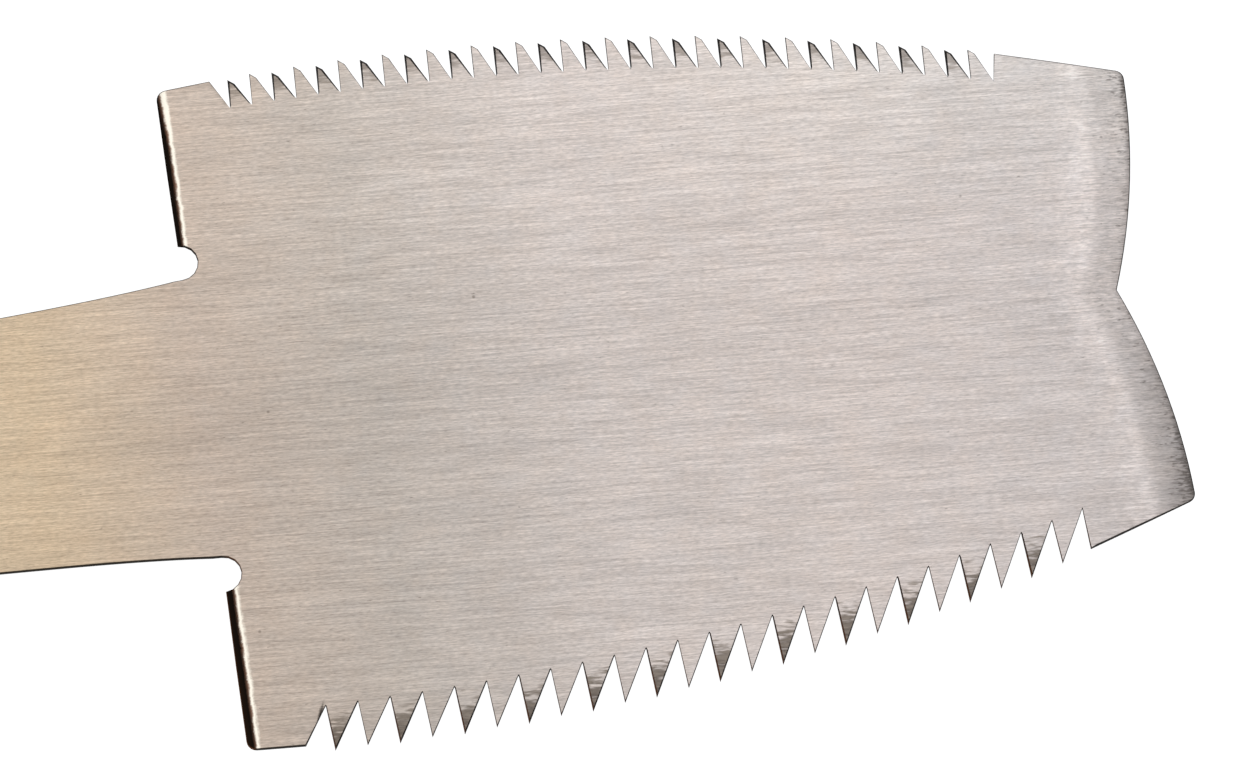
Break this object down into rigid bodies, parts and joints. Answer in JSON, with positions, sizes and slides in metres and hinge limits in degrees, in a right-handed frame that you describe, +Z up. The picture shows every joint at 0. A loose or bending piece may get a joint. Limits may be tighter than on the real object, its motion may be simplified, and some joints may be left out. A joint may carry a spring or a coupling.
{
  "type": "double-edged pull saw",
  "caption": "Double-edged pull saw with a short curved head, fine crosscut teeth opposite coarse rip teeth, and a hook-on blade clamped in a cane-wrapped oval handle.",
  "frame": {"origin": "on the surface that the saw lies on, below the middle of its length and its centre line", "axes": "+X from the butt of the handle to the toe of the blade, +Y towards the crosscut teeth, +Z up, square to the blade's face on the clamp screw's side"},
  "size_m": [0.422, 0.059, 0.024],
  "materials": {
    "saw_steel": "brushed lengthwise, bare",
    "holder_steel": "satin, tumbled edges",
    "plated_steel": "zinc plated",
    "spring_steel": "blackened",
    "knurled_brass": "turned, knurled",
    "ferrule_brass": "satin",
    "eyelet_brass": "polished, worn",
    "handle_wood": "sanded and oiled",
    "cane": "split cane, glossy skin",
    "band_plastic": "satin black",
    "cap_plastic": "fine grained"
  },
  "bodies": {
    "handle": {"blade_holder": "holder_steel", "hook_pin": "plated_steel", "clamp_nut": "plated_steel", "handle_half_upper": "handle_wood", "handle_half_lower": "handle_wood", "holder_dowels": "plated_steel", "front_ferrule": "ferrule_brass", "ferrule_brads": "ferrule_brass", "wrap_band_front": "band_plastic", "cane_wrap": "cane", "wrap_band_rear": "band_plastic", "end_cap": "cap_plastic", "cap_screw": "plated_steel", "hang_eyelet": "eyelet_brass"},
    "blade": {"blade": "saw_steel"},
    "clamp_washer": {"clamp_washer": "plated_steel"},
    "clamp_screw": {"clamp_screw": "knurled_brass", "screw_retainer": "spring_steel"}
  },
  "joints": [
    {"name": "blade_swing", "type": "hinge", "parent": "handle", "child": "blade", "pos_m": [0.0323, 0, 0.012], "axis": [0, 0, -1], "range_deg": [0, 40]},
    {"name": "washer_lift", "type": "slide", "parent": "handle", "child": "clamp_washer", "axis": [0, 0, 1], "range_m": [0, 0.0016]},
    {"name": "screw_turn", "type": "hinge", "parent": "clamp_washer", "child": "clamp_screw", "pos_m": [0.0493, 0, 0.012], "axis": [0, 0, 1], "range_deg": [0, 720]}
  ],
  "couplings": [
    {"joint": "washer_lift", "follows": "screw_turn", "m_per_rad": 0.00012732}
  ]
}
